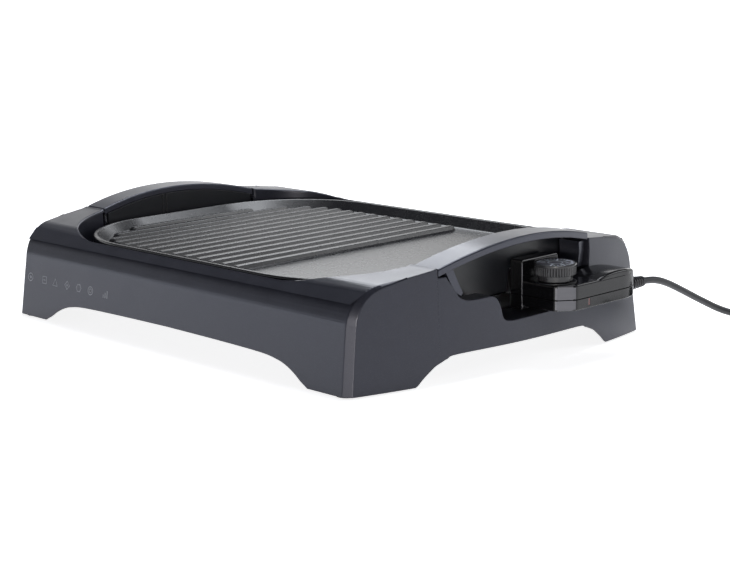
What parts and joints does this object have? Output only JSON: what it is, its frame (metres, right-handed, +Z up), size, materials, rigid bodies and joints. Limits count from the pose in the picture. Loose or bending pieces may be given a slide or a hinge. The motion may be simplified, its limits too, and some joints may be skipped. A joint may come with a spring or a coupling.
{
  "type": "electric table grill",
  "caption": "Open electric table grill: dark base on arched legs, lift-out ribbed cooking plate with arched handles, drip tray, plug-in thermostat with dial and cord.",
  "frame": {"origin": "middle of the footprint of base and thermostat, on the table", "axes": "+X to the thermostat end, -Y to the front, +Z up"},
  "size_m": [0.67, 0.5706, 0.114],
  "materials": {
    "base_metallic": "dark anthracite metallic lacquer, satin",
    "bare_sheet": "bright rolled sheet",
    "steel": "zinc plated",
    "rubber": "matt",
    "tray_enamel": "dark satin enamel",
    "nonstick": "black non-stick coating, semi-gloss",
    "element": "oxidised tube",
    "ceramic": "unglazed steatite",
    "handle_metallic": "dark anthracite metallic lacquer, satin",
    "black_satin": "black heat-proof moulding, satin",
    "bracket_black": "black coated",
    "gloss_black": "polished black",
    "contact_brass": "bright",
    "insulator": "brown phenolic",
    "dial_black": "satin black",
    "dial_print": "dark satin disc with pale printed marks",
    "lens": "dark red lens",
    "cord_black": "dark grey cord sheath"
  },
  "bodies": {
    "base": {"base_shell": "base_metallic", "reflector_pan": "bare_sheet", "reflector_screws": "steel", "rubber_feet": "rubber"},
    "drip_tray_body": {"drip_tray": "tray_enamel"},
    "grill_plate": {"cooking_plate": "nonstick", "heating_element": "element", "terminal_pins": "steel", "pin_collars": "ceramic", "terminal_guard": "steel", "probe_sleeve": "steel", "handle_grip_left": "handle_metallic", "handle_grip_right": "handle_metallic", "handle_wall_left": "black_satin", "handle_wall_right": "black_satin", "handle_brackets": "bracket_black", "handle_screws": "steel"},
    "controller": {"controller_lower_shell": "gloss_black", "controller_upper_shell": "gloss_black", "contact_block": "insulator", "contact_sockets": "contact_brass", "temperature_probe": "steel", "thermostat_frame": "steel", "thermostat_blades": "contact_brass", "pilot_lamp": "lens", "shell_screws": "steel", "dial_bezel": "dial_black", "strain_relief": "cord_black", "cord_lead": "cord_black", "cord_coil": "cord_black", "cord_tail": "cord_black", "cord_tie": "black_satin", "plug_body": "black_satin", "plug_pins": "steel"},
    "dial": {"dial_knob": "dial_black", "dial_inlay": "dial_print", "dial_spindle": "steel"}
  },
  "joints": [
    {"name": "plate_lift", "type": "slide", "parent": "base", "child": "grill_plate", "axis": [0, -0.0216, 0.9998], "range_m": [0, 0.17]},
    {"name": "tray_lift", "type": "slide", "parent": "base", "child": "drip_tray_body", "axis": [0, -0.0216, 0.9998], "range_m": [0, 0.085]},
    {"name": "controller_pull", "type": "slide", "parent": "grill_plate", "child": "controller", "axis": [1, 0, 0], "range_m": [0, 0.12]},
    {"name": "dial_turn", "type": "hinge", "parent": "controller", "child": "dial", "pos_m": [0.24837, 0.03145, 0.08871], "axis": [0, -0.0216, 0.9998], "range_deg": [0, 280]}
  ],
  "couplings": [
    {"joint": "tray_lift", "follows": "plate_lift", "ratio": 0.5}
  ]
}
